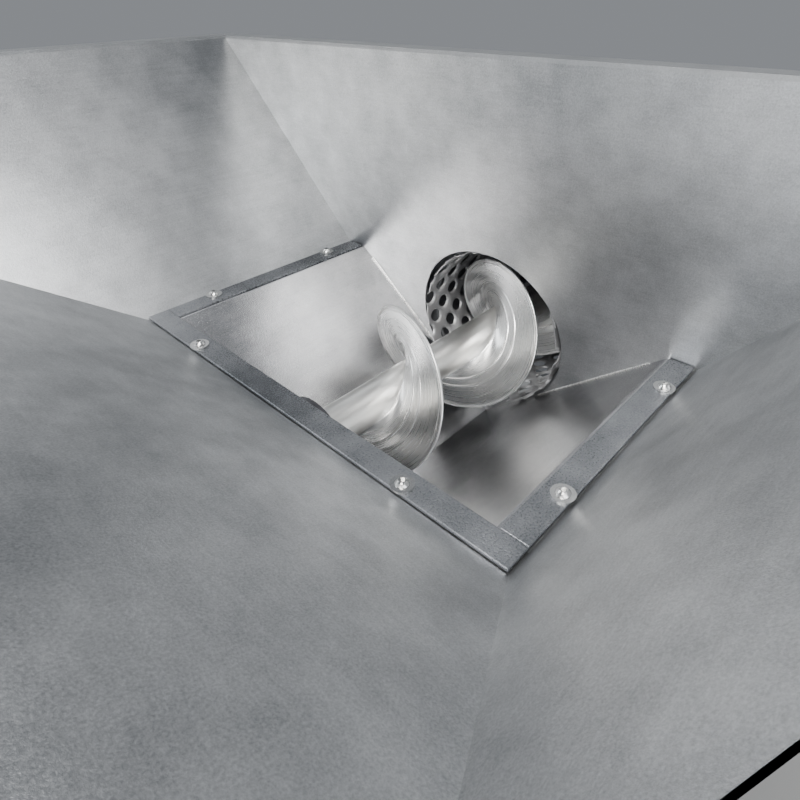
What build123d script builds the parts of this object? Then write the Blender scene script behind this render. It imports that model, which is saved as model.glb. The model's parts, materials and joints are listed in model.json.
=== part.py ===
from build123d import *
import os
from math import atan2, cos, degrees, radians, sin, sqrt

# Screened grain auger: a folded sheet hopper over a V trough, with a left-hand
# screw that carries the grain through a perforated cleaning screen to a spout.
# Millimetres. +X runs along the auger from the drive end to the discharge end,
# +Z is up and the origin is on the auger axis, halfway along the drive journal.

os.makedirs("parts", exist_ok=True)

# ---------------------------------------------------------------- driving sizes
# Auger
flight_od = 150.0
flight_pitch = 150.0
flight_t = 3.2
crest_x = 220.3           # where the flight's rim stands straight up
shaft_d = 30.0
tube_wall = 4.0
tube_od = shaft_d + 2 * tube_wall
journal_d = 28.0
journal_len = 70.0
keyway_w, keyway_d, keyway_len = 8.0, 3.5, 30.0
weld_sink = 0.05          # how far the flight is let into the tube's surface

# Trough and flange
x_open = 92.7             # inner face of the trough's tail plate
x_fold = 349.2            # inner face of the upright head sheet
y_open = 196.2            # half of the opening's width, to the strips' inner edges
z_top = 51.5              # top of the hold-down strips
z_fold = 40.2             # the head sheet's fold
z_keel = -125.0           # inside of the trough's bottom crease
sheet = 2.0
gasket_t = 1.0
strip_t = 2.0
strip_w = 21.4
foot_off = 23.0           # from the strips' inner edges to the feet of the walls
foot_drop = 3.0           # level of the walls' feet, below the strips' top
lip_in = 2.3              # how far the trough shows inside the strips
lip_round = 1.5
flange_in = 0.5           # hopper flange's inner edge, from the strips' inner edges
clear = 0.3               # between sheets that end next to each other

# Hopper walls: run per unit of rise
tail_run = 1.5
side_run = 0.70
head_lean = 0.18
head_low_lean = 0.12      # below the fold the sheet leans the other way
head_toe = 30.0           # half of the head sheet's width at its lower end
head_low = 12.0           # how far the head sheet reaches below the trough's crease
hopper_h = 215.0          # from the strips' top to the rim
rim_w = 25.0
rim_t = 3.0

# Mouth, screen, casing and discharge
screen_r = flight_od / 2 + 13.0
screen_t = 1.5
screen_len = 278.0
screen_margin = 12.0           # plain edge at the screen's far end
mouth_r = screen_r + 6.0
hole_r = 7.6
hole_start = (5.2, 83.8)       # first hole: along the axis, degrees from the top to +Y
hole_step_a = (25.8, 9.17)     # lattice steps: along the axis, degrees
hole_step_b = (16.3, -8.88)
seam_angle = -62.0             # lapped seam, from the top towards +Y
seam_half = 10.0
casing_r = screen_r + 22.0
casing_t = 2.0
ring_t = 4.0
casing_flange_w = 12.0
housing_len = 105.0
housing_t = 3.0
end_plate_t = 6.0
spout_x, spout_y, spout_z = 76.0, 120.0, -215.0
chute_x, chute_y, chute_z = 180.0, 130.0, -190.0
chute_sheet = 2.0
chute_flange, chute_flange_t = 22.0, 3.0

# Frame
angle_w = 40.0
angle_t = 4.0
rail_in = 5.0             # rail's inner edge, from the strips' inner edges
floor_z = -408.0
pad_t = 8.0
foot_w = 70.0
foot_t = 4.0
brace_w, brace_t, brace_z = 30.0, 5.0, -300.0
leg_gap = 30.7            # the tail legs' outer face, from the trough's tail plate

# Bearings
plate_t = 6.0
hub_r, hub_h = shaft_d / 2 + 25.0, 31.0
ear_r, ear_x, ear_t = 15.5, 58.5, 13.0
inner_race_r = shaft_d / 2 + 4.5
ball_ring_r = inner_race_r + 3.25
outer_bore_r = ball_ring_r + 3.25
outer_race_r = outer_bore_r + 5.0
race_w = 19.0
race_off = 8.0
inner_race_w = 38.0
inner_race_off = 3.0
ball_r, ball_count = 4.7, 9
ball_clear = 0.1
seal_r, seal_pocket_r = 38.0, 26.0
seal_w, seal_house_w = 8.0, 14.0
seal_clear = 0.08
shaft_gap = 4.0           # around the shaft, in the plates it passes through

# Fasteners: shank radius, hole radius, across flats, head height, nut height
m6 = {"r": 3.0, "hole": 3.3, "flats": 10.0, "head": 3.3, "nut": 5.2}
m8 = {"r": 4.0, "hole": 4.4, "flats": 13.0, "head": 5.3, "nut": 6.8}
m12 = {"r": 6.0, "hole": 6.6, "flats": 18.0, "head": 7.5, "nut": 10.8}
button_r = 5.25
button_flats, button_socket = 4.0, 2.0
washer_r, washer_t = 8.5, 1.6
screw_inset = 14.4        # from the strips' inner edges
screw_y = 129.0
screw_x = (142.4, 299.5)

# ---------------------------------------------------------------- worked out
tube_r = tube_od / 2
shaft_r = shaft_d / 2
z_flange = z_top - strip_t               # top of the trough's flange
z_gasket = z_flange - sheet              # top of the gasket
z_wall = z_gasket - gasket_t             # top of the hopper's turned-in flange
z_rail = z_wall - sheet                  # top of the rails
z_foot = z_top - foot_drop
z_rim = z_top + hopper_h
y_lip = y_open - lip_in
y_flange = y_open + strip_w - 1.0
x_flange = x_open - strip_w + 1.0
tail_tx = sheet * sqrt(1 + tail_run**2)
side_ty = sheet * sqrt(1 + side_run**2)
head_tx = sheet * sqrt(1 + head_lean**2)
x_head_out = x_fold + head_tx
y_rail = y_open + rail_in
y_web = y_rail + angle_w - angle_t       # inner face of the rails' upright leg
x_screen = x_head_out + 0.3
x_screen_end = x_screen + screen_len
x_housing_end = x_screen_end + housing_len
x_leg_tail = x_open - leg_gap
x_leg_head = x_housing_end - angle_w
x_bearing_tail = x_open - sheet - plate_t
x_bearing_head = x_housing_end + end_plate_t
z_leg_bottom = floor_z + pad_t + foot_t


def x_tail(z):
    return x_open - foot_off - tail_run * (z - z_foot)


def x_head(z):
    """Inner face of the head sheet, above and below its fold."""
    lean = head_lean if z > z_fold else head_low_lean
    return x_fold - lean * abs(z - z_fold) * (1 if z > z_fold else -1)


def y_side(z):
    return y_open + foot_off + side_run * (z - z_foot)


def face_on(plane, points):
    """A closed polygon on a plane."""
    with BuildSketch(plane) as profile:
        with BuildLine():
            Polyline(*points, close=True)
        make_face()
    return profile.sketch


def face_at(z, points):
    """A closed polygon on a level plane."""
    return face_on(Plane.XY.offset(z), points)


def save(part, label):
    part.part.label = label
    export_step(part.part, f"parts/{label}.step")


# ---------------------------------------------------------------- hopper walls
def wall_section(side, z):
    """Level section of one wall, mitred to its neighbours along the corner lines."""
    xt, xh, ys = x_tail(z), x_head(z), y_side(z)
    xt_out, xh_out, ys_out = xt - tail_tx, xh + head_tx, ys + side_ty
    return {
        "tail": [(xt, -ys), (xt, ys), (xt_out, ys_out), (xt_out, -ys_out)],
        "head": [(xh, -ys), (xh, ys), (xh_out, ys_out), (xh_out, -ys_out)],
        "left": [(xt, ys), (xh, ys), (xh_out, ys_out), (xt_out, ys_out)],
        "right": [(xt, -ys), (xh, -ys), (xh_out, -ys_out), (xt_out, -ys_out)],
    }[side]


screw_points = {
    "tail": [(x_open - screw_inset, s * screw_y) for s in (1, -1)],
    "left": [(x, y_open + screw_inset) for x in screw_x],
    "right": [(x, -y_open - screw_inset) for x in screw_x],
}
all_screws = [p for group in screw_points.values() for p in group]


def screw_holes():
    with Locations(*[(x, y, z_top) for x, y in all_screws]):
        Cylinder(m6["hole"], 60, mode=Mode.SUBTRACT)


def band(side, inner, outer, x_end, wide=0):
    """Flat band along one side of the opening, from inner to outer offsets."""
    if side == "tail":
        return [(x_open - outer, -wide), (x_open - outer, wide),
                (x_open - inner, wide), (x_open - inner, -wide)]
    sign = 1 if side == "left" else -1
    y_in, y_out = sign * (y_open + inner), sign * (y_open + outer)
    return [(x_open, y_in), (x_end, y_in), (x_end, y_out), (x_open, y_out)]


x_wall_end = x_head(z_wall) - clear
wall_bands = {
    "tail": band("tail", sheet + flange_in, x_open - x_tail(z_wall) + clear, x_wall_end,
                 y_side(z_rail)),
    "left": band("left", flange_in, y_side(z_wall) - y_open + clear, x_wall_end),
    "right": band("right", flange_in, y_side(z_wall) - y_open + clear, x_wall_end),
}
for side, outline in wall_bands.items():
    with BuildPart() as wall:
        loft([face_at(z, wall_section(side, z)) for z in (z_rail, z_rim)], ruled=True)
        extrude(face_at(z_rail, outline), amount=sheet)
        screw_holes()
    save(wall, f"hopper_{side}_wall")

narrow = y_rail - 0.7                     # half of the head sheet's width between the rails
z_toe = z_keel - head_low
with BuildPart() as head_wall:
    extrude(face_on(Plane.XZ, [(x_fold, z_fold), (x_head(z_toe), z_toe),
                               (x_head(z_toe) + head_tx, z_toe), (x_head_out, z_fold)]),
            amount=narrow, both=True)
    extrude(face_on(Plane.YZ.offset(x_fold - 1), [(-narrow, z_fold), (narrow, z_fold),
                                                  (head_toe, z_toe), (-head_toe, z_toe)]),
            amount=mouth_r, mode=Mode.INTERSECT)
    loft([face_at(z, [(x_head(z), -narrow), (x_head(z), narrow),
                      (x_head(z) + head_tx, narrow), (x_head(z) + head_tx, -narrow)])
          for z in (z_fold, z_rail)], ruled=True)
    loft([face_at(z, wall_section("head", z)) for z in (z_rail, z_rim)], ruled=True)
    with BuildSketch(Plane.YZ.offset(x_fold)) as mouth:
        Circle(mouth_r)
    extrude(mouth.sketch, amount=mouth_r, both=True, mode=Mode.SUBTRACT)
save(head_wall, "hopper_head_wall")


# Rim angles, mitred at the corners
def rim_section(side, inner, outer):
    xt, xh, ys = x_tail(z_rim), x_head(z_rim), y_side(z_rim)
    (ti, hi, yi), (to, ho, yo) = ((xt - off, xh + off, ys + off) for off in (inner, outer))
    return {
        "tail": [(ti, -yi), (ti, yi), (to, yo), (to, -yo)],
        "head": [(hi, -yi), (hi, yi), (ho, yo), (ho, -yo)],
        "left": [(ti, yi), (hi, yi), (ho, yo), (to, yo)],
        "right": [(ti, -yi), (hi, -yi), (ho, -yo), (to, -yo)],
    }[side]


for side in ("tail", "head", "left", "right"):
    with BuildPart() as rim:
        extrude(face_at(z_rim, rim_section(side, 0, rim_w)), amount=rim_t)
        extrude(face_at(z_rim + rim_t, rim_section(side, rim_w - rim_t, rim_w)), amount=-rim_w)
    save(rim, f"rim_angle_{side}")

# Hold-down strips and gasket
for side in ("tail", "left", "right"):
    with BuildPart() as strip:
        outline = band(side, 0, strip_w, x_head(z_top) - 2 * clear, y_open + strip_w)
        extrude(face_at(z_flange, outline), amount=strip_t)
        fillet(strip.edges().group_by(Axis.Z)[-1], 0.9)
        screw_holes()
    save(strip, f"hold_down_strip_{side}")

with BuildPart() as gasket:
    outer, x_end = strip_w - 2, x_head(z_gasket) - 2 * clear
    x_in, x_out, y_out = x_open - sheet - clear, x_open - outer, y_open + outer
    outline = [(x_out, -y_out), (x_end, -y_out), (x_end, -y_open), (x_in, -y_open),
               (x_in, y_open), (x_end, y_open), (x_end, y_out), (x_out, y_out)]
    extrude(face_at(z_wall, outline), amount=gasket_t)
    screw_holes()
save(gasket, "flange_gasket")

# ---------------------------------------------------------------- trough
# Laid into the hopper from above: its flanges lie on the hopper's turned-in flange
trough_tan = (z_flange - z_keel) / y_lip
trough_drop = sheet * sqrt(1 + trough_tan**2)        # sheet thickness measured upright
z_crease = z_keel - trough_drop


def y_panel_out(z):
    """Outer face of a sloping panel."""
    return (z - z_crease) / trough_tan


for side, sign in (("left", 1), ("right", -1)):
    with BuildPart() as panel:
        profile = [(y_flange, z_flange), (y_lip, z_flange), (0, z_keel), (0, z_crease),
                   (y_panel_out(z_gasket), z_gasket), (y_flange, z_gasket)]
        extrude(face_on(Plane.YZ.offset(x_open), [(sign * y, z) for y, z in profile]),
                amount=x_head(z_toe) - x_open + 1)
        lip = panel.edges().filter_by(Axis.X).sort_by_distance((x_fold, sign * y_lip, z_flange))
        fillet(lip[0], lip_round)
        head_side = [(x_head(z_top), z_top), (x_fold, z_fold), (x_head(z_toe), z_toe),
                     (x_head(z_toe) + 5, z_toe), (x_head(z_toe) + 5, z_top)]
        extrude(face_on(Plane.XZ, head_side), amount=y_open + strip_w, both=True,
                mode=Mode.SUBTRACT)
        screw_holes()
    save(panel, f"trough_{side}_panel")

with BuildPart() as tail_plate:
    outline = [(-y_panel_out(z_flange), z_flange), (y_panel_out(z_flange), z_flange),
               (0, z_crease)]
    extrude(face_on(Plane.YZ.offset(x_open - sheet), outline), amount=sheet)
    extrude(face_at(z_gasket, [(x_flange, -y_flange), (x_open, -y_flange),
                               (x_open, y_flange), (x_flange, y_flange)]), amount=sheet)
    with BuildSketch(Plane.YZ.offset(x_open - sheet)) as holes:
        Circle(shaft_r + shaft_gap)
        with Locations((-ear_x, 0), (ear_x, 0)):
            Circle(m12["hole"])
    extrude(holes.sketch, amount=sheet, mode=Mode.SUBTRACT)
    screw_holes()
save(tail_plate, "trough_tail_plate")

# ---------------------------------------------------------------- flange fasteners
with BuildPart() as strip_washers:
    with BuildSketch(Plane.XY.offset(z_top)):
        with Locations(*all_screws):
            Circle(washer_r)
            Circle(m6["hole"], mode=Mode.SUBTRACT)
    extrude(amount=washer_t)
save(strip_washers, "strip_washers")

z_head = z_top + washer_t
with BuildPart() as strip_screws:
    for x, y in all_screws:
        with BuildSketch(Plane(origin=(x, y, z_head), x_dir=(1, 0, 0), z_dir=(0, -1, 0))):
            with BuildLine():
                Line((0, 0), (button_r, 0))
                Line((button_r, 0), (button_r, 0.6))
                ThreePointArc((button_r, 0.6), (3.9, 2.4), (2.9, m6["head"]))
                Line((2.9, m6["head"]), (0, m6["head"]))
                Line((0, m6["head"]), (0, 0))
            make_face()
        revolve(axis=Axis((x, y, z_head), (0, 0, 1)))
    with BuildSketch(Plane.XY.offset(z_head)):
        with Locations(*all_screws):
            Circle(m6["r"])
    extrude(amount=-(washer_t + z_top - z_rail + angle_t + m6["nut"] + 2))
    with BuildSketch(Plane.XY.offset(z_head + m6["head"])):
        with Locations(*all_screws):
            RegularPolygon(button_flats / 2, 6, major_radius=False)
    extrude(amount=-button_socket, mode=Mode.SUBTRACT)
save(strip_screws, "strip_screws")

with BuildPart() as strip_nuts:
    for side, points in screw_points.items():
        seat = z_rail if side == "tail" else z_rail - angle_t
        with BuildSketch(Plane.XY.offset(seat)):
            with Locations(*points):
                RegularPolygon(m6["flats"] / 2, 6, major_radius=False)
                Circle(m6["r"], mode=Mode.SUBTRACT)
        extrude(amount=-m6["nut"])
save(strip_nuts, "strip_nuts")

# ---------------------------------------------------------------- screen and casing
def ring(x, length, r_in, r_out):
    with BuildSketch(Plane.YZ.offset(x)) as profile:
        Circle(r_out)
        Circle(r_in, mode=Mode.SUBTRACT)
    extrude(profile.sketch, amount=length)


def around(x, radius, angle):
    """Point at an angle from the top towards +Y."""
    return (x, radius * sin(radians(angle)), radius * cos(radians(angle)))


def screen_holes():
    """Centres of the perforations, as planes that face outwards."""
    planes = []
    for i in range(-40, 41):
        for j in range(-40, 41):
            along = hole_start[0] + i * hole_step_a[0] + j * hole_step_b[0]
            turn = i * hole_step_a[1] + j * hole_step_b[1]
            from_seam = (hole_start[1] + turn - seam_angle) % 360
            whole = hole_r + 1 < along < screen_len - screen_margin
            if abs(turn) <= 180 and whole and seam_half < from_seam < 360 - seam_half:
                spot = around(x_screen + along, screen_r, hole_start[1] + turn)
                planes.append(Plane(origin=spot, x_dir=(1, 0, 0), z_dir=(0, spot[1], spot[2])))
    return planes


with BuildPart() as screen:
    ring(x_screen, screen_len, screen_r, screen_r + screen_t)
    with Locations(*screen_holes()):
        Cylinder(hole_r, 8 * screen_t, mode=Mode.SUBTRACT)
save(screen, "cleaning_screen")

# The front ring stands clear of the leaning head sheet
x_ring = x_head(-casing_r - casing_t) + head_tx + clear
with BuildPart() as screen_rings:
    for x in (x_ring, x_screen_end - 3 - ring_t):
        ring(x, ring_t, screen_r + screen_t, casing_r)
save(screen_rings, "screen_rings")


def casing_bolt_planes(x):
    turn = 360 / 8
    return [Plane(origin=around(x, casing_r + casing_t + casing_flange_w / 2, turn * (n + 0.5)),
                  x_dir=(0, 1, 0), z_dir=(1, 0, 0)) for n in range(8)]


with BuildPart() as casing:
    high, low = casing_r + 40, -casing_r - 40
    x_front = x_fold - casing_r
    ring(x_front, x_screen_end - x_front, casing_r, casing_r + casing_t)
    front = [(x_front - 1, low), (x_head(low) + head_tx, low), (x_head_out, z_fold),
             (x_head(high) + head_tx, high), (x_front - 1, high)]
    extrude(face_on(Plane.XZ, front), amount=high, both=True, mode=Mode.SUBTRACT)
    ring(x_screen_end - ring_t, ring_t, casing_r + casing_t / 2,
         casing_r + casing_t + casing_flange_w)
    with BuildSketch(Plane.XY.offset(-casing_r - 20)):
        with Locations((x_screen + screen_len / 2, 0)):
            Rectangle(chute_x, chute_y)
    extrude(amount=60, mode=Mode.SUBTRACT)
    with Locations(*casing_bolt_planes(x_screen_end)):
        Cylinder(m6["hole"], 40, mode=Mode.SUBTRACT)
save(casing, "screen_casing")

with BuildPart() as dust_chute:
    with BuildSketch(Plane.XY.offset(chute_z)):
        with Locations((x_screen + screen_len / 2, 0)):
            Rectangle(chute_x + 2 * chute_sheet, chute_y + 2 * chute_sheet)
            Rectangle(chute_x, chute_y, mode=Mode.SUBTRACT)
    extrude(amount=-chute_z - 40)
    with BuildSketch(Plane.XY.offset(chute_z)):
        with Locations((x_screen + screen_len / 2, 0)):
            Rectangle(chute_x + 2 * chute_flange, chute_y + 2 * chute_flange)
            Rectangle(chute_x, chute_y, mode=Mode.SUBTRACT)
            with GridLocations(chute_x + chute_flange, chute_y + chute_flange, 2, 2):
                Circle(m6["hole"], mode=Mode.SUBTRACT)
    extrude(amount=chute_flange_t)
    with BuildSketch(Plane.YZ.offset(x_screen)):
        Circle(casing_r + casing_t)
    extrude(amount=screen_len, mode=Mode.SUBTRACT)
save(dust_chute, "dust_chute")

with BuildPart() as housing:
    ring(x_screen_end, housing_len, screen_r, screen_r + housing_t)
    ring(x_screen_end, ring_t, screen_r + housing_t / 2,
         casing_r + casing_t + casing_flange_w)
    with BuildSketch(Plane.XY.offset(-screen_r - 20)):
        with Locations((x_screen_end + housing_len / 2 + 4, 0)):
            Rectangle(spout_x, spout_y)
    extrude(amount=60, mode=Mode.SUBTRACT)
    with Locations(*casing_bolt_planes(x_screen_end)):
        Cylinder(m6["hole"], 40, mode=Mode.SUBTRACT)
save(housing, "discharge_housing")

with BuildPart() as spout:
    with BuildSketch(Plane.XY.offset(spout_z)):
        with Locations((x_screen_end + housing_len / 2 + 4, 0)):
            Rectangle(spout_x + 2 * chute_sheet, spout_y + 2 * chute_sheet)
            Rectangle(spout_x, spout_y, mode=Mode.SUBTRACT)
    extrude(amount=-spout_z - 40)
    with BuildSketch(Plane.YZ.offset(x_screen_end)):
        Circle(screen_r + housing_t)
    extrude(amount=housing_len, mode=Mode.SUBTRACT)
save(spout, "discharge_spout")


def hex_bolts(planes, size, grip):
    """Hex-headed bolts, each with its seat on a plane and its shank against the normal."""
    for plane in planes:
        with BuildSketch(plane) as head:
            RegularPolygon(size["flats"] / 2, 6, major_radius=False)
        extrude(head.sketch, amount=size["head"])
        with BuildSketch(plane) as shank:
            Circle(size["r"])
        extrude(shank.sketch, amount=-(grip + size["nut"] + 2))


def hex_nuts(planes, size, grip):
    for plane in planes:
        with BuildSketch(plane.offset(-grip)) as nut:
            RegularPolygon(size["flats"] / 2, 6, major_radius=False)
            Circle(size["r"], mode=Mode.SUBTRACT)
        extrude(nut.sketch, amount=-size["nut"])


casing_planes = casing_bolt_planes(x_screen_end + ring_t)
with BuildPart() as casing_bolts:
    hex_bolts(casing_planes, m6, 2 * ring_t)
save(casing_bolts, "casing_bolts")
with BuildPart() as casing_nuts:
    hex_nuts(casing_planes, m6, 2 * ring_t)
save(casing_nuts, "casing_nuts")

# ---------------------------------------------------------------- frame
# Bolt stations: planes on the outer faces, with the shank pointing inwards
z_rail_bolt = z_rail - angle_t - 16
leg_mid = angle_w / 2
x_leg_mids = (x_leg_tail + leg_mid, x_leg_head + leg_mid)
y_leg_mid = y_web - leg_mid
side_stations, end_stations = [], []
for sign in (1, -1):
    for x in x_leg_mids:
        out = {"x_dir": (1, 0, 0), "z_dir": (0, sign, 0)}
        side_stations.append(Plane(origin=(x, sign * (y_web + angle_t), z_rail_bolt), **out))
        side_stations.append(Plane(origin=(x, sign * (y_web + brace_t), brace_z), **out))
    for x, face in ((x_leg_tail - brace_t, -1), (x_housing_end + brace_t, 1)):
        end_stations.append(Plane(origin=(x, sign * y_leg_mid, brace_z),
                                  x_dir=(0, 1, 0), z_dir=(face, 0, 0)))
plate_stations = [Plane(origin=(x_bearing_head, sign * y_leg_mid, z), x_dir=(0, 1, 0),
                        z_dir=(1, 0, 0)) for sign in (1, -1) for z in (z_rail - 30, -70.0)]


def frame_holes():
    with Locations(*side_stations, *end_stations, *plate_stations):
        Cylinder(m8["hole"], 40, mode=Mode.SUBTRACT)


for side, sign in (("left", 1), ("right", -1)):
    with BuildPart() as rail:
        with BuildSketch(Plane.YZ.offset(x_leg_tail)):
            with BuildLine():
                y_out = sign * (y_web + angle_t)
                Polyline((sign * y_rail, z_rail), (y_out, z_rail), (y_out, z_rail - angle_w),
                         (sign * y_web, z_rail - angle_w), (sign * y_web, z_rail - angle_t),
                         (sign * y_rail, z_rail - angle_t), close=True)
            make_face()
        extrude(amount=x_housing_end - x_leg_tail)
        screw_holes()
        frame_holes()
    save(rail, f"frame_rail_{side}")

    for end, x_web, face in (("tail", x_leg_tail, 1), ("head", x_housing_end, -1)):
        with BuildPart() as leg:
            x_far, x_in = x_web + face * angle_w, x_web + face * angle_t
            y_w, y_i, y_f = (sign * (y_web - d) for d in (0, angle_t, angle_w))
            extrude(face_at(z_leg_bottom, [(x_web, y_w), (x_far, y_w), (x_far, y_i),
                                           (x_in, y_i), (x_in, y_f), (x_web, y_f)]),
                    amount=z_rail - angle_t - z_leg_bottom)
            with BuildSketch(Plane.XY.offset(z_leg_bottom - foot_t)):
                with Locations((x_web + face * leg_mid, sign * y_leg_mid)):
                    Rectangle(foot_w, foot_w)
            extrude(amount=foot_t)
            frame_holes()
        save(leg, f"leg_{end}_{side}")

    with BuildPart() as brace:
        with BuildSketch(Plane.XZ.offset(-sign * y_web)):
            with Locations(((x_leg_tail + x_housing_end) / 2, brace_z)):
                Rectangle(x_housing_end - x_leg_tail, brace_w)
        extrude(amount=-sign * brace_t)
        frame_holes()
    save(brace, f"brace_{side}")

for end, x, face in (("tail", x_leg_tail, -1), ("head", x_housing_end, 1)):
    with BuildPart() as brace:
        with BuildSketch(Plane.YZ.offset(x)):
            with Locations((0, brace_z)):
                Rectangle(2 * y_web, brace_w)
        extrude(amount=face * brace_t)
        frame_holes()
    save(brace, f"brace_{end}")

with BuildPart() as foot_pads:
    with BuildSketch(Plane.XY.offset(floor_z)):
        with Locations(*[(x, s * y_leg_mid) for x in x_leg_mids for s in (1, -1)]):
            RectangleRounded(foot_w, foot_w, 6)
    extrude(amount=pad_t)
save(foot_pads, "foot_pads")

with BuildPart() as end_plate:
    with BuildSketch(Plane.YZ.offset(x_housing_end)):
        z_low = -125.0
        with Locations((0, (z_rail + z_low) / 2)):
            RectangleRounded(2 * (y_web + angle_t), z_rail - z_low, 10)
        Circle(shaft_r + 1.5, mode=Mode.SUBTRACT)
        with Locations((-ear_x, 0), (ear_x, 0)):
            Circle(m12["hole"], mode=Mode.SUBTRACT)
    extrude(amount=end_plate_t)
    frame_holes()
save(end_plate, "end_plate")

frame_sets = ((side_stations[0::2], 2 * angle_t),
              (side_stations[1::2] + end_stations, brace_t + angle_t),
              (plate_stations, end_plate_t + angle_t))
with BuildPart() as frame_bolts:
    for stations, grip in frame_sets:
        hex_bolts(stations, m8, grip)
save(frame_bolts, "frame_bolts")
with BuildPart() as frame_nuts:
    for stations, grip in frame_sets:
        hex_nuts(stations, m8, grip)
save(frame_nuts, "frame_nuts")

# ---------------------------------------------------------------- bearings
def along(x, face, start, width, r_in, r_out):
    """Ring from start to start + width, counted outwards from a mounting face at x."""
    ring(x + face * start, face * width, r_in, r_out)


with BuildPart() as bearing_plate:
    with BuildSketch(Plane.YZ.offset(x_bearing_tail)):
        RectangleRounded(176, 2 * (z_rail - 0.5), 8)
        Circle(shaft_r + shaft_gap, mode=Mode.SUBTRACT)
        with Locations((-ear_x, 0), (ear_x, 0)):
            Circle(m12["hole"], mode=Mode.SUBTRACT)
    extrude(amount=plate_t)
save(bearing_plate, "tail_bearing_plate")

for end, x, face in (("tail", x_bearing_tail, -1), ("head", x_bearing_head, 1)):
    with BuildPart() as bearing_housing:
        with BuildSketch(Plane.YZ.offset(x)):
            with Locations((-ear_x, 0), (ear_x, 0)):
                Circle(ear_r)
            Circle(hub_r)
            make_hull()
            Circle(outer_race_r, mode=Mode.SUBTRACT)
            with Locations((-ear_x, 0), (ear_x, 0)):
                Circle(m12["hole"], mode=Mode.SUBTRACT)
        extrude(amount=face * ear_t)
        along(x, face, ear_t, hub_h - ear_t, outer_race_r, hub_r - 2)
    save(bearing_housing, f"{end}_bearing_housing")

    x_balls = x + face * (race_off + race_w / 2)
    groove = Plane(origin=(x_balls, 0, 0), z_dir=(1, 0, 0))
    with BuildPart() as outer_race:
        along(x, face, race_off, race_w, outer_bore_r, outer_race_r)
        with Locations(groove):
            Torus(ball_ring_r, ball_r + ball_clear, mode=Mode.SUBTRACT)
    save(outer_race, f"{end}_bearing_outer_race")
    with BuildPart() as inner_race:
        along(x, face, inner_race_off, inner_race_w, shaft_r, inner_race_r)
        with Locations(groove):
            Torus(ball_ring_r, ball_r + ball_clear, mode=Mode.SUBTRACT)
    save(inner_race, f"{end}_bearing_inner_race")
    with BuildPart() as balls:
        spots = [around(x_balls, ball_ring_r, 360 / ball_count * n) for n in range(ball_count)]
        with Locations(*spots):
            Sphere(ball_r)
    save(balls, f"{end}_bearing_balls")

# Bearing bolts: seat on the ears, nuts behind the plates
bearing_stations = []
for x, face, grip in ((x_bearing_tail, -1, ear_t + plate_t + sheet),
                      (x_bearing_head, 1, ear_t + end_plate_t)):
    seats = [Plane(origin=(x + face * ear_t, y, 0), x_dir=(0, 1, 0), z_dir=(face, 0, 0))
             for y in (-ear_x, ear_x)]
    bearing_stations.append((seats, grip))
with BuildPart() as bearing_bolts:
    for seats, grip in bearing_stations:
        hex_bolts(seats, m12, grip)
save(bearing_bolts, "bearing_bolts")
with BuildPart() as bearing_nuts:
    for seats, grip in bearing_stations:
        hex_nuts(seats, m12, grip)
save(bearing_nuts, "bearing_nuts")

with BuildPart() as seal_housing:
    ring(x_open, seal_house_w, seal_pocket_r, seal_r)
    ring(x_open + seal_house_w - 3, 3, tube_r + 1.5, seal_r)
save(seal_housing, "tail_seal_housing")
with BuildPart() as seal:
    ring(x_open, seal_w, shaft_r + seal_clear, seal_pocket_r)
save(seal, "tail_seal")

# ---------------------------------------------------------------- rotating assembly
x_tube = x_open + seal_house_w + 2.3
x_tube_end = x_housing_end - 18
x_flight = x_tube + 8
x_flight_end = x_screen_end + housing_len / 2 - 20
stub_grip = 70.0

with BuildPart() as auger_tube:
    ring(x_tube, x_tube_end - x_tube, tube_r - tube_wall, tube_r)
    bolt_spots = [x_tube_end - 22, x_tube_end - 50]
    with Locations(*[Plane(origin=(x, 0, 0), x_dir=(1, 0, 0), z_dir=(0, 0, 1))
                     for x in bolt_spots]):
        Cylinder(m8["hole"], 60, mode=Mode.SUBTRACT)
save(auger_tube, "auger_tube")

with BuildPart(mode=Mode.PRIVATE) as screw_blank:
    with BuildLine() as rim_line:
        Helix(flight_pitch, x_flight_end - x_flight, flight_od / 2, center=(x_flight, 0, 0),
              direction=(1, 0, 0), lefthand=True)
    start = rim_line.line @ 0
    outwards = Vector(0, start.Y, start.Z)
    section_plane = Plane(origin=(x_flight, 0, 0), x_dir=outwards,
                          z_dir=Vector(1, 0, 0).cross(outwards))
    with BuildSketch(section_plane):
        inner = tube_r - weld_sink
        with Locations(((inner + flight_od / 2) / 2, 0)):
            Rectangle(flight_od / 2 - inner, flight_t)
    sweep(is_frenet=True)
built_angle = degrees(atan2(start.Y, start.Z))           # from the top towards +Y
wanted_angle = (x_flight - crest_x) / flight_pitch * 360
with BuildPart() as flighting:
    add(screw_blank.part, rotation=(built_angle - wanted_angle, 0, 0))
save(flighting, "flighting")

with BuildPart() as drive_stub:
    with BuildSketch(Plane.YZ.offset(-journal_len / 2)):
        Circle(journal_d / 2)
    extrude(amount=journal_len)
    with BuildSketch(Plane.YZ.offset(journal_len / 2)):
        Circle(shaft_r)
    extrude(amount=x_tube + stub_grip - journal_len / 2)
    with BuildSketch(Plane.XY.offset(journal_d / 2 - keyway_d)):
        with Locations(((keyway_len - journal_len) / 2, 0)):
            Rectangle(keyway_len, keyway_w)
    extrude(amount=journal_d / 2, mode=Mode.SUBTRACT)
save(drive_stub, "drive_stub_shaft")

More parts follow.
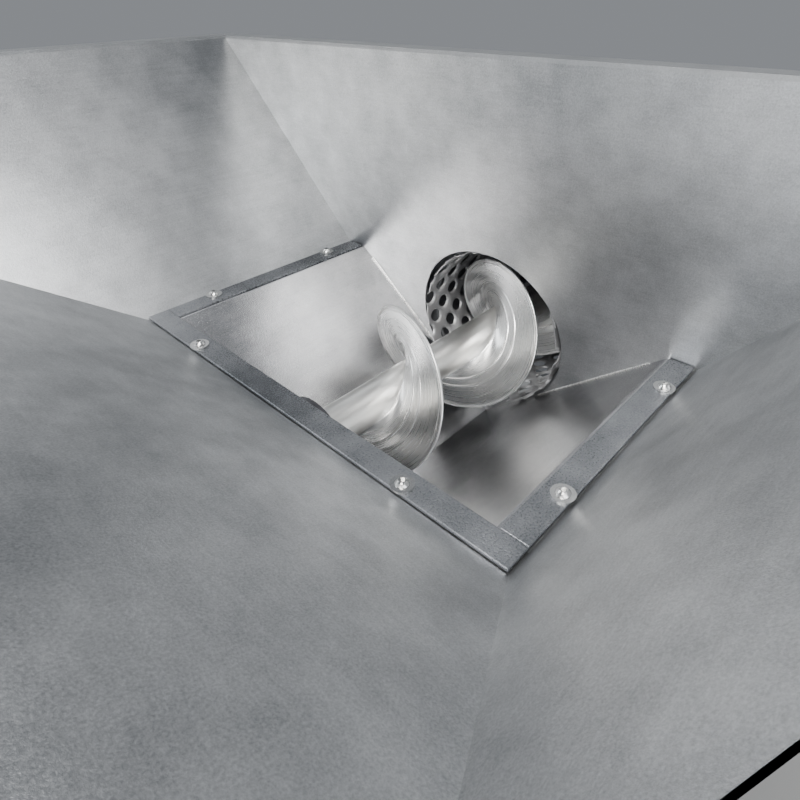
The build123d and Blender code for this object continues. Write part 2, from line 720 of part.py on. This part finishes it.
with BuildPart() as head_stub:
    x_start = x_tube_end - stub_grip
    with BuildSketch(Plane.YZ.offset(x_start)):
        Circle(shaft_r)
    extrude(amount=x_bearing_head + inner_race_off + inner_race_w + 4 - x_start)
    with Locations(*[Plane(origin=(x, 0, 0), x_dir=(1, 0, 0), z_dir=(0, 0, 1))
                     for x in bolt_spots]):
        Cylinder(m8["hole"], 60, mode=Mode.SUBTRACT)
save(head_stub, "head_stub_shaft")

stub_planes = [Plane(origin=(x, 0, tube_r), x_dir=(1, 0, 0), z_dir=(0, 0, 1))
               for x in bolt_spots]
with BuildPart() as stub_bolts:
    hex_bolts(stub_planes, m8, tube_od)
save(stub_bolts, "stub_bolts")
with BuildPart() as stub_nuts:
    hex_nuts(stub_planes, m8, tube_od)
save(stub_nuts, "stub_nuts")
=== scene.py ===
import json
import math

import bpy
from mathutils import Matrix, Vector, noise


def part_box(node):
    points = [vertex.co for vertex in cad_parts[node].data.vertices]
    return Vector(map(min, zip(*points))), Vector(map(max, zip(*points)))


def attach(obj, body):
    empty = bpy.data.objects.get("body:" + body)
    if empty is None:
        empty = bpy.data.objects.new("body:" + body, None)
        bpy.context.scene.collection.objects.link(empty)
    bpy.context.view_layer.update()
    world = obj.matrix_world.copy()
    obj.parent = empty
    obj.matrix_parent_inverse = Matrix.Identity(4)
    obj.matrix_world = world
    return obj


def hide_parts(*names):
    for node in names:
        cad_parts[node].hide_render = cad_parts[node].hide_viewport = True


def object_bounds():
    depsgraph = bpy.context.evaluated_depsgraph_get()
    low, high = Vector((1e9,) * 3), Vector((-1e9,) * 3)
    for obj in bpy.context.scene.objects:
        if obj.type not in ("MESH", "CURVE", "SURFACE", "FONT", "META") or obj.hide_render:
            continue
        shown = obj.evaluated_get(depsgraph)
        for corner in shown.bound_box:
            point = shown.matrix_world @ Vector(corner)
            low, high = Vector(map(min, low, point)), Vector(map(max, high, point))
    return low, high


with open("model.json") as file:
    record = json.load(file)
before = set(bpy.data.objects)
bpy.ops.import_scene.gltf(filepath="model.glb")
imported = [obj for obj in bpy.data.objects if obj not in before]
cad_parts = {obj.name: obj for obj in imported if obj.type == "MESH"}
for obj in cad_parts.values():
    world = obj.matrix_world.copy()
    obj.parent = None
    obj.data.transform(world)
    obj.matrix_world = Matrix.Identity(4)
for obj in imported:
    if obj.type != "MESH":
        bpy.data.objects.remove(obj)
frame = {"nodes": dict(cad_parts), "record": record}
cad_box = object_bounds()

mm = 0.001

# The auger runs along +X with its axis on the X axis, and +Z is up. All sizes are in metres.
# What the frame's boxes give is read from them; the rest repeats the model's own sizes.
strip_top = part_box("hold_down_strip_tail")[1][2]
tube_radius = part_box("auger_tube")[1][2]
flight_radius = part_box("flighting")[1][2]
flight_pitch = 150 * mm
flight_crest_x = 220.3 * mm          # where the blade's rim stands straight up
screen_radius = 88 * mm

# Trough panels and head sheet, as (along Y, up) places on the inner faces
lip_y, lip_z = 193.9 * mm, strip_top - 2 * mm
keel_z = -125 * mm
fold_x, fold_z = 349.2 * mm, 40.2 * mm
head_low_lean = 0.12

# Screen perforations: dished outwards on a slanted lattice of (along, around) steps
hole_radius, dish_radius, dish_depth = 7.6 * mm, 10.5 * mm, 2.1 * mm
lattice_start = (5.2 * mm, 83.8)     # along from the front, degrees from the top to +Y
step_a = Vector((25.8, 14.1)) * mm
step_b = Vector((16.3, -13.6)) * mm
seam_angle = -62.0
seam_half = 10.0


# ------------------------------------------------------------------ materials
class Value:
    """A node's output; arithmetic on it adds Math nodes."""

    def __init__(self, finish, socket):
        self.finish = finish
        self.socket = socket

    def math(self, operation, *inputs):
        return self.finish.add("ShaderNodeMath", {"operation": operation},
                               dict(enumerate(inputs)))

    def __add__(self, other):
        return self.math("ADD", self, other)

    def __sub__(self, other):
        return self.math("SUBTRACT", self, other)

    def __rsub__(self, other):
        return self.math("SUBTRACT", other, self)

    def __mul__(self, other):
        return self.math("MULTIPLY", self, other)

    __radd__ = __add__
    __rmul__ = __mul__

    def __pow__(self, other):
        return self.math("POWER", self, other)


class Finish:
    """One procedural surface finish, built round a Principled shader."""

    def __init__(self, name, **uniform):
        self.material = bpy.data.materials.new(name)
        self.material.use_nodes = True
        self.tree = self.material.node_tree
        self.shader = self.tree.nodes["Principled BSDF"]
        for socket, value in uniform.items():
            self.shader.inputs[socket.replace("_", " ")].default_value = value
        self.place = self.add("ShaderNodeTexCoord", out="Object")

    def add(self, kind, settings=None, inputs=None, out=0):
        node = self.tree.nodes.new(kind)
        for name, value in (settings or {}).items():
            if name == "stops":
                ramp = node.color_ramp
                while len(ramp.elements) < len(value):
                    ramp.elements.new(0.5)
                for element, (spot, colour) in zip(ramp.elements, value):
                    element.position = spot
                    element.color = colour
            else:
                setattr(node, name, value)
        for socket, value in (inputs or {}).items():
            self.join(value, node.inputs[socket])
        return Value(self, node.outputs[out])

    def join(self, value, socket):
        if isinstance(value, Value):
            self.tree.links.new(value.socket, socket)
        else:
            socket.default_value = value

    def feed(self, **sockets):
        for name, value in sockets.items():
            self.join(value, self.shader.inputs[name.replace("_", " ")])

    def noise(self, scale, detail=3.0, rough=0.55, place=None, stretch=None):
        place = place or self.place
        if stretch:
            place = self.add("ShaderNodeMapping", None, {"Vector": place, "Scale": stretch})
        return self.add("ShaderNodeTexNoise", None, {
            "Vector": place, "Scale": scale, "Detail": detail, "Roughness": rough})

    def ramp(self, value, *stops):
        return self.add("ShaderNodeValToRGB",
                        {"stops": [(s, (v, v, v, 1.0)) for s, v in stops]}, {"Fac": value})

    def tint(self, value, low, high):
        return self.add("ShaderNodeMix", {"data_type": "RGBA"},
                        {0: value, 6: (*low, 1.0), 7: (*high, 1.0)}, out=2)

    def bump(self, height, distance, strength=1.0):
        return self.add("ShaderNodeBump", None, {
            "Height": height, "Distance": distance, "Strength": strength})


def rolled_sheet(name, low, high, rough=0.42, grain=0.0002, cloud=0.16, fine=900.0,
                 metal=0.9):
    """Rolled sheet with a fine grain, soft cloudy stains and faint handling scratches."""
    f = Finish(name, Metallic=metal)
    clouds = f.noise(5.0, 4.0, 0.6)
    blotch = f.noise(38.0, 3.0, 0.6)
    grit = f.noise(fine, 2.0, 0.7)
    streaks = f.noise(60.0, 2.0, 0.5, stretch=(0.25, 1.0, 9.0))
    mixed = clouds * 0.38 + blotch * 0.22 + grit * 0.32 + streaks * 0.08
    tone = f.ramp(mixed, (0.38, 0.0), (0.62, 1.0))
    f.feed(Base_Color=f.tint(tone, low, high),
           Roughness=rough + (clouds - 0.5) * cloud + (grit - 0.5) * 0.16,
           Normal=f.bump(grit * 0.7 + blotch * 0.5 + streaks * 0.2, grain))
    return f.material


def worn_steel(name, low, high, rough=0.25, fine=520.0, grain=0.00004, cloud=0.10,
               metal=1.0):
    """Bright steel polished by passing grain, with rings worn around the auger axis."""
    f = Finish(name, Metallic=metal)
    split = f.add("ShaderNodeSeparateXYZ", None, {0: f.place})
    y = Value(f, split.socket.node.outputs[1])
    z = Value(f, split.socket.node.outputs[2])
    radius = (y * y + z * z) ** 0.5
    rings = f.add("ShaderNodeTexNoise", {"noise_dimensions": "1D"},
                  {"W": radius * 900.0, "Scale": 1.0, "Detail": 2.0})
    clouds = f.noise(22.0, 3.0, 0.55)
    grit = f.noise(fine, 2.0, 0.6)
    tone = f.ramp(clouds * 0.7 + rings * 0.3, (0.35, 0.0), (0.65, 1.0))
    f.feed(Base_Color=f.tint(tone, low, high),
           Roughness=rough + (clouds - 0.5) * cloud + (rings - 0.5) * 0.10,
           Normal=f.bump(rings * 0.5 + grit * 0.5 + clouds * 0.8, grain))
    return f.material


def coated(name, low, high, rough=0.5, metal=0.0, fine=300.0, grain=0.0001, coat=0.0):
    """Paint, casting or rubber: a mottled tone with a fine orange-peel surface."""
    f = Finish(name, Metallic=metal, Coat_Weight=coat)
    clouds = f.noise(14.0, 4.0, 0.6)
    peel = f.noise(fine, 2.0, 0.6)
    f.feed(Base_Color=f.tint(f.ramp(clouds, (0.35, 0.0), (0.65, 1.0)), low, high),
           Roughness=rough + (clouds - 0.5) * 0.15,
           Normal=f.bump(peel, grain))
    return f.material


finishes = {
    "hopper_sheet": rolled_sheet("hopper_sheet", (0.36, 0.37, 0.38), (0.70, 0.71, 0.72), metal=0.97,
                                 rough=0.37, cloud=0.22),
    "strip_steel": rolled_sheet("strip_steel", (0.10, 0.11, 0.12), (0.38, 0.39, 0.41),
                                rough=0.28, grain=0.0004, fine=700.0),
    "trough_sheet": rolled_sheet("trough_sheet", (0.38, 0.38, 0.39), (0.66, 0.66, 0.67),
                                 rough=0.22, metal=1.0),
    "rim_steel": rolled_sheet("rim_steel", (0.42, 0.43, 0.44), (0.58, 0.59, 0.60)),
    "flight_steel": worn_steel("flight_steel", (0.78, 0.78, 0.77), (0.93, 0.93, 0.92), rough=0.28,
                               metal=0.97),
    "shaft_steel": worn_steel("shaft_steel", (0.72, 0.71, 0.68), (0.88, 0.87, 0.84), rough=0.30,
                              metal=0.97),
    "screen_steel": worn_steel("screen_steel", (0.60, 0.60, 0.61), (0.78, 0.78, 0.79), rough=0.40,
                               metal=0.75),
    "casing_steel": rolled_sheet("casing_steel", (0.40, 0.41, 0.43), (0.56, 0.57, 0.60)),
    "frame_paint": coated("frame_paint", (0.15, 0.16, 0.17), (0.22, 0.23, 0.24), 0.42, coat=0.3),
    "bearing_cast": coated("bearing_cast", (0.06, 0.08, 0.11), (0.10, 0.12, 0.16), 0.5,
                           grain=0.0004),
    "bearing_steel": worn_steel("bearing_steel", (0.6, 0.6, 0.6), (0.75, 0.75, 0.75), 0.15),
    "seal_collar": coated("seal_collar", (0.03, 0.03, 0.035), (0.09, 0.09, 0.10), 0.22, metal=0.6,
                          coat=0.5),
    "rubber_black": coated("rubber_black", (0.02, 0.02, 0.02), (0.04, 0.04, 0.04), 0.7),
    "screw_steel": worn_steel("screw_steel", (0.62, 0.62, 0.61), (0.8, 0.8, 0.79), 0.2),
    "zinc_fastener": worn_steel("zinc_fastener", (0.5, 0.5, 0.47), (0.66, 0.66, 0.62), 0.35),
}

node_slot = {row["node"]: row["material_slot"] for row in frame["record"]["subparts"]}
for node, thing in frame["nodes"].items():
    thing.data.materials.clear()
    thing.data.materials.append(finishes[node_slot[node]])


# ------------------------------------------------------------------ helpers
def nothing_selected():
    if bpy.context.mode != "OBJECT":
        bpy.ops.object.mode_set(mode="OBJECT")
    bpy.ops.object.select_all(action="DESELECT")


def settle(thing, name, slot, body, replaced=()):
    """Names a finished piece, puts its place into its mesh, gives it its finish and hangs it under
    its body, hiding the CAD parts it replaces.
    """
    nothing_selected()
    thing.select_set(True)
    bpy.context.view_layer.objects.active = thing
    bpy.ops.object.transform_apply(location=True, rotation=True, scale=True)
    bpy.ops.object.shade_smooth_by_angle(angle=math.radians(40))
    thing.name = name
    thing.data.name = name
    thing.data.materials.clear()
    thing.data.materials.append(finishes[slot])
    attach(thing, body)
    if replaced:
        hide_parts(*replaced)
    thing.select_set(False)
    return thing


def apply_modifiers(thing):
    bpy.context.view_layer.objects.active = thing
    for modifier in list(thing.modifiers):
        bpy.ops.object.modifier_apply(modifier=modifier.name)


def point_around(x, radius, angle):
    """A point at an angle in degrees from the top towards +Y."""
    turn = math.radians(angle)
    return Vector((x, radius * math.sin(turn), radius * math.cos(turn)))


def mesh_piece(name, vertices, faces):
    mesh = bpy.data.meshes.new(name)
    mesh.from_pydata(vertices, [], faces)
    thing = bpy.data.objects.new(name, mesh)
    bpy.context.collection.objects.link(thing)
    return thing


# ------------------------------------------------------------------ auger blade
def ridge(radius, place, width, height):
    """Height of a small rounded ridge pressed round the blade."""
    across = (radius - place) / width
    return height * math.cos(math.pi * across / 2) if abs(across) < 1 else 0.0


def blade_profile():
    """(radius, offset along X) round the blade's section, starting at the root's front."""
    half, rim_half = 1.15 * mm, 1.6 * mm
    ridges = (37 * mm, 46.5 * mm)
    ridge_width, ridge_height = 1.5 * mm, 1.0 * mm
    weld = 2.6 * mm
    root = tube_radius - 0.3 * mm
    groove = flight_radius - 3.6 * mm

    def thickness(radius):
        extra = sum(ridge(radius, place, ridge_width, ridge_height) for place in ridges)
        extra += ridge(radius, root, weld, 1.6 * mm)
        extra -= ridge(radius, groove, 1.4 * mm, 0.5 * mm)
        return half + extra

    stations = [root + weld * k / 4 for k in range(5)] + [29 * mm]
    for place in ridges:
        stations += [place + ridge_width * k / 4 for k in range(-5, 6)]
    stations += [56 * mm, 64 * mm]
    stations += [groove + 1.4 * mm * k / 3 for k in range(-4, 4)]
    front = [(r, -thickness(r)) for r in stations]
    back = [(r, thickness(r)) for r in reversed(stations)]
    edge = []
    for k in range(9):
        turn = math.pi * (k / 8) - math.pi / 2
        edge.append((flight_radius - rim_half + rim_half * math.cos(turn),
                     rim_half * math.sin(turn)))
    return front + edge + back


def make_blade():
    """Turns the section along the auger, closes its ends and adds wear and weld ripples."""
    blade_half = 1.6 * mm
    steps_per_turn = 84
    wander, weld_ripple, weld_reach, rim_wear = 0.9 * mm, 0.5 * mm, 4 * mm, 0.6 * mm
    low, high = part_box("flighting")
    start = low[0] + blade_half
    length = high[0] - low[0] - 2 * blade_half
    turns = length / flight_pitch
    profile = blade_profile()
    mesh = bpy.data.meshes.new("blade")
    mesh.from_pydata([(x, 0, r) for r, x in profile],
                     [(k, (k + 1) % len(profile)) for k in range(len(profile))], [])
    blade = bpy.data.objects.new("blade", mesh)
    bpy.context.collection.objects.link(blade)
    nothing_selected()
    blade.select_set(True)
    screw = blade.modifiers.new("screw", "SCREW")
    screw.axis = "X"
    screw.angle = -2 * math.pi * turns
    screw.screw_offset = length
    screw.steps = screw.render_steps = round(steps_per_turn * turns)
    screw.use_normal_calculate = True
    apply_modifiers(blade)
    bpy.ops.object.mode_set(mode="EDIT")
    bpy.ops.mesh.select_all(action="DESELECT")
    bpy.ops.mesh.select_non_manifold()
    bpy.ops.mesh.edge_face_add()
    bpy.ops.mesh.select_all(action="SELECT")
    bpy.ops.mesh.normals_make_consistent(inside=False)
    bpy.ops.object.mode_set(mode="OBJECT")
    start_angle = 360 * (start - flight_crest_x) / flight_pitch
    turn = Matrix.Rotation(-math.radians(start_angle), 4, "X")
    blade.data.transform(Matrix.Translation((start, 0, 0)) @ turn)
    for vertex in blade.data.vertices:
        v = vertex.co
        radius = math.hypot(v.y, v.z)
        out = max(0.0, (radius - tube_radius) / (flight_radius - tube_radius))
        weld = max(0.0, 1 - (radius - tube_radius) / weld_reach)
        v.x += wander * out * noise.noise(v * 14.0)
        v.x += weld_ripple * weld * noise.noise(v * 260.0)
        worn = rim_wear * out ** 6 * max(0.0, noise.noise(v * 60.0 + Vector((3, 1, 2))))
        v.y *= 1 - worn / radius
        v.z *= 1 - worn / radius
    return settle(blade, "auger_blade", "flight_steel", "auger", ["flighting"])


# ------------------------------------------------------------------ screen
def circumcentre(p, q):
    """Centre of the circle through the origin and two lattice points."""
    cross = 2 * (p.x * q.y - p.y * q.x)
    return Vector((q.y * p.length_squared - p.y * q.length_squared,
                   p.x * q.length_squared - q.x * p.length_squared)) / cross


def cell_outline(parts=3):
    """The lattice's six-sided cell, each side split into equal parts."""
    near = [step_b, step_a, step_a - step_b]
    near += [-n for n in near]
    corners = [circumcentre(near[k], near[(k + 1) % 6]) for k in range(6)]
    outline = []
    for k in range(6):
        first, second = corners[k], corners[(k + 1) % 6]
        outline += [first.lerp(second, n / parts) for n in range(parts)]
    return outline


def make_screen():
    """The flat sheet is built cell by cell, trimmed, rolled round the axis and thickened."""
    plain_end, margin, seam_gap_half = 20 * mm, 0.02, 0.4 * mm
    sheet_thickness = 0.9 * mm
    low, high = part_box("cleaning_screen")
    length = high[0] - low[0]
    arc_length = 2 * math.pi * screen_radius
    outline = cell_outline()
    sides = len(outline)
    dish = [(dish_radius, 0.0), (9.5 * mm, 0.22), (8.5 * mm, 0.66), (hole_radius, 1.0)]
    vertices, faces = [], []
    for i in range(-45, 46):
        for j in range(-45, 46):
            centre = step_a * i + step_b * j
            centre.x += lattice_start[0]
            centre.y += math.radians(lattice_start[1] - seam_angle) * screen_radius
            if not (-margin < centre.x < length + margin
                    and -margin < centre.y < arc_length + margin):
                continue
            seam_gap = min(centre.y, arc_length - centre.y)
            plain = (centre.x > length - plain_end
                     or seam_gap < math.radians(seam_half) * screen_radius)
            first = len(vertices)
            vertices += [(*(centre + p), 0.0) for p in outline]
            if plain:
                faces.append(tuple(range(first, first + sides)))
                continue
            for radius, depth in dish:
                vertices += [(*(centre + p.normalized() * radius), depth * dish_depth)
                             for p in outline]
            for ring in range(len(dish)):
                a, b = first + ring * sides, first + (ring + 1) * sides
                faces += [(a + k, a + (k + 1) % sides, b + (k + 1) % sides, b + k)
                          for k in range(sides)]
    screen = mesh_piece("screen", vertices, faces)
    nothing_selected()
    screen.select_set(True)
    bpy.context.view_layer.objects.active = screen
    bpy.ops.object.mode_set(mode="EDIT")
    bpy.ops.mesh.select_all(action="SELECT")
    bpy.ops.mesh.remove_doubles(threshold=0.05 * mm)
    trims = (((0, 0, 0), (-1, 0, 0)), ((length, 0, 0), (1, 0, 0)),
             ((0, seam_gap_half, 0), (0, -1, 0)),
             ((0, arc_length - seam_gap_half, 0), (0, 1, 0)))
    for place, normal in trims:
        bpy.ops.mesh.select_all(action="SELECT")
        bpy.ops.mesh.bisect(plane_co=place, plane_no=normal, clear_outer=True)
    bpy.ops.object.mode_set(mode="OBJECT")
    for vertex in screen.data.vertices:
        along, arc, depth = vertex.co
        angle = seam_angle + math.degrees(arc / screen_radius)
        vertex.co = point_around(low[0] + along, screen_radius + depth, angle)
    bpy.ops.object.mode_set(mode="EDIT")
    bpy.ops.mesh.select_all(action="SELECT")
    bpy.ops.mesh.normals_make_consistent(inside=True)
    bpy.ops.object.mode_set(mode="OBJECT")
    middle = screen.data.polygons[0]
    inwards = -Vector((0, middle.center.y, middle.center.z))
    solid = screen.modifiers.new("thickness", "SOLIDIFY")
    solid.thickness = sheet_thickness
    solid.offset = -1 if middle.normal.dot(inwards) > 0 else 1
    apply_modifiers(screen)
    return settle(screen, "dimpled_screen", "screen_steel", "frame", ["cleaning_screen"])


def make_screen_lap():
    """The seam's second layer, a plain band outside the screen."""
    lap_half, steps = 5, 8
    inner, outer = screen_radius + 1.55 * mm, screen_radius + 3.0 * mm
    low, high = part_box("cleaning_screen")
    vertices, faces = [], []
    for k in range(steps + 1):
        angle = seam_angle - lap_half + 2 * lap_half * k / steps
        for radius in (inner, outer):
            vertices += [point_around(x, radius, angle) for x in (low[0], high[0])]
    for k in range(steps):
        a, b = 4 * k, 4 * k + 4
        faces += [(a, a + 1, b + 1, b), (a + 2, b + 2, b + 3, a + 3),
                  (a, b, b + 2, a + 2), (a + 1, a + 3, b + 3, b + 1)]
    faces += [(0, 2, 3, 1), (4 * steps, 4 * steps + 1, 4 * steps + 3, 4 * steps + 2)]
    lap = mesh_piece("lap", vertices, faces)
    return settle(lap, "screen_lap", "screen_steel", "frame")


# ------------------------------------------------------------------ weld beads
def head_face(y, z, stand):
    """A point on the head sheet's inner face below the fold, a little in front of it."""
    return Vector((fold_x + head_low_lean * (fold_z - z) - stand, y, z))


def make_bead(name, start, end, radius, slot, sides=10):
    """A slightly uneven round bead between two points."""
    run = end - start
    along = run.normalized()
    side = along.cross(Vector((1, 0, 0))).normalized()
    up = along.cross(side)
    step = 2.5 * mm
    steps = max(6, round(run.length / step))
    vertices, faces = [], []
    for k in range(steps + 1):
        middle = start + run * (k / steps)
        thick = radius * (1 + 0.22 * noise.noise(middle * 170.0))
        for n in range(sides):
            turn = 2 * math.pi * n / sides
            vertices.append(middle + (side * math.cos(turn) + up * math.sin(turn)) * thick)
    for k in range(steps):
        a, b = k * sides, (k + 1) * sides
        faces += [(a + n, a + (n + 1) % sides, b + (n + 1) % sides, b + n) for n in range(sides)]
    faces += [tuple(range(sides - 1, -1, -1)), tuple(range(steps * sides, (steps + 1) * sides))]
    bead = mesh_piece(name, vertices, faces)
    return settle(bead, name, slot, "frame")


def make_junction_beads():
    """Welds along the trough panels' ends, from below the flange down to the mouth."""
    slope = (lip_z - keel_z) / lip_y
    lift = 0.7 * mm
    bead_top, bead_foot = 180 * mm, 72.5 * mm
    for name, sign, stand, radius in (("bead_left", 1, 0.7 * mm, 1.5 * mm),
                                      ("bead_right", -1, 0.4 * mm, 0.9 * mm)):
        start, end = (head_face(sign * y, keel_z + slope * y + lift, stand)
                      for y in (bead_top, bead_foot))
        make_bead(name, start, end, radius, "flight_steel")


make_blade()
make_screen()
make_screen_lap()
make_junction_beads()


# ------------------------------------------------------------------ floor, light, camera
floor_z = cad_box[0][2]
floor_size, floor_x = 12, 0.3
bpy.ops.mesh.primitive_plane_add(size=floor_size, location=(floor_x, 0, floor_z))
floor = bpy.context.object
floor.name = "floor"
floor_finish = Finish("floor_pale", Roughness=0.8)
floor_finish.feed(Base_Color=floor_finish.tint(floor_finish.noise(1.5), (0.72, 0.72, 0.71),
                                               (0.78, 0.78, 0.77)))
floor.data.materials.append(floor_finish.material)

world = bpy.data.worlds.new("studio")
bpy.context.scene.world = world
world.use_nodes = True
background = world.node_tree.nodes["Background"]
background.inputs["Color"].default_value = (0.80, 0.84, 0.90, 1)
background.inputs["Strength"].default_value = 0.31


def softbox(name, place, target, size, power, colour=(1, 1, 1)):
    light = bpy.data.lights.new(name, "AREA")
    light.shape = "RECTANGLE"
    light.size, light.size_y = size
    light.energy = power
    light.color = colour
    lamp = bpy.data.objects.new(name, light)
    lamp.location = place
    lamp.rotation_euler = (Vector(target) - Vector(place)).to_track_quat("-Z", "Y").to_euler()
    bpy.context.collection.objects.link(lamp)


middle = (0.2, 0.0, 0.05)
mouth = (fold_x, 0.03, 0.0)
softbox("overhead", (0.1, 0.3, 1.9), middle, (1.6, 1.2), 11)
softbox("beside_viewer", (-0.55, -0.45, 1.0), middle, (0.5, 0.5), 8, (1.0, 0.97, 0.92))
softbox("into_mouth", (0.0, -0.20, 0.62), mouth, (0.16, 0.16), 2.2)
softbox("far_left", (-0.4, 0.9, 0.9), (0.35, -0.1, 0.2), (0.6, 0.6), 5, (0.95, 0.98, 1.0))

camera_data = bpy.data.cameras.new("viewer")
camera_data.sensor_width = 36
camera_data.lens = 24.32
camera = bpy.data.objects.new("viewer", camera_data)
heading, tilt, roll = (math.radians(a) for a in (-45.68, 52.46, -1.03))
eye = (-100 * mm, -302.4 * mm, strip_top + 261.8 * mm)
camera.matrix_world = (Matrix.Translation(eye)
                       @ Matrix.Rotation(heading, 4, "Z") @ Matrix.Rotation(tilt, 4, "X")
                       @ Matrix.Rotation(roll, 4, "Z"))
bpy.context.collection.objects.link(camera)
bpy.context.scene.camera = camera
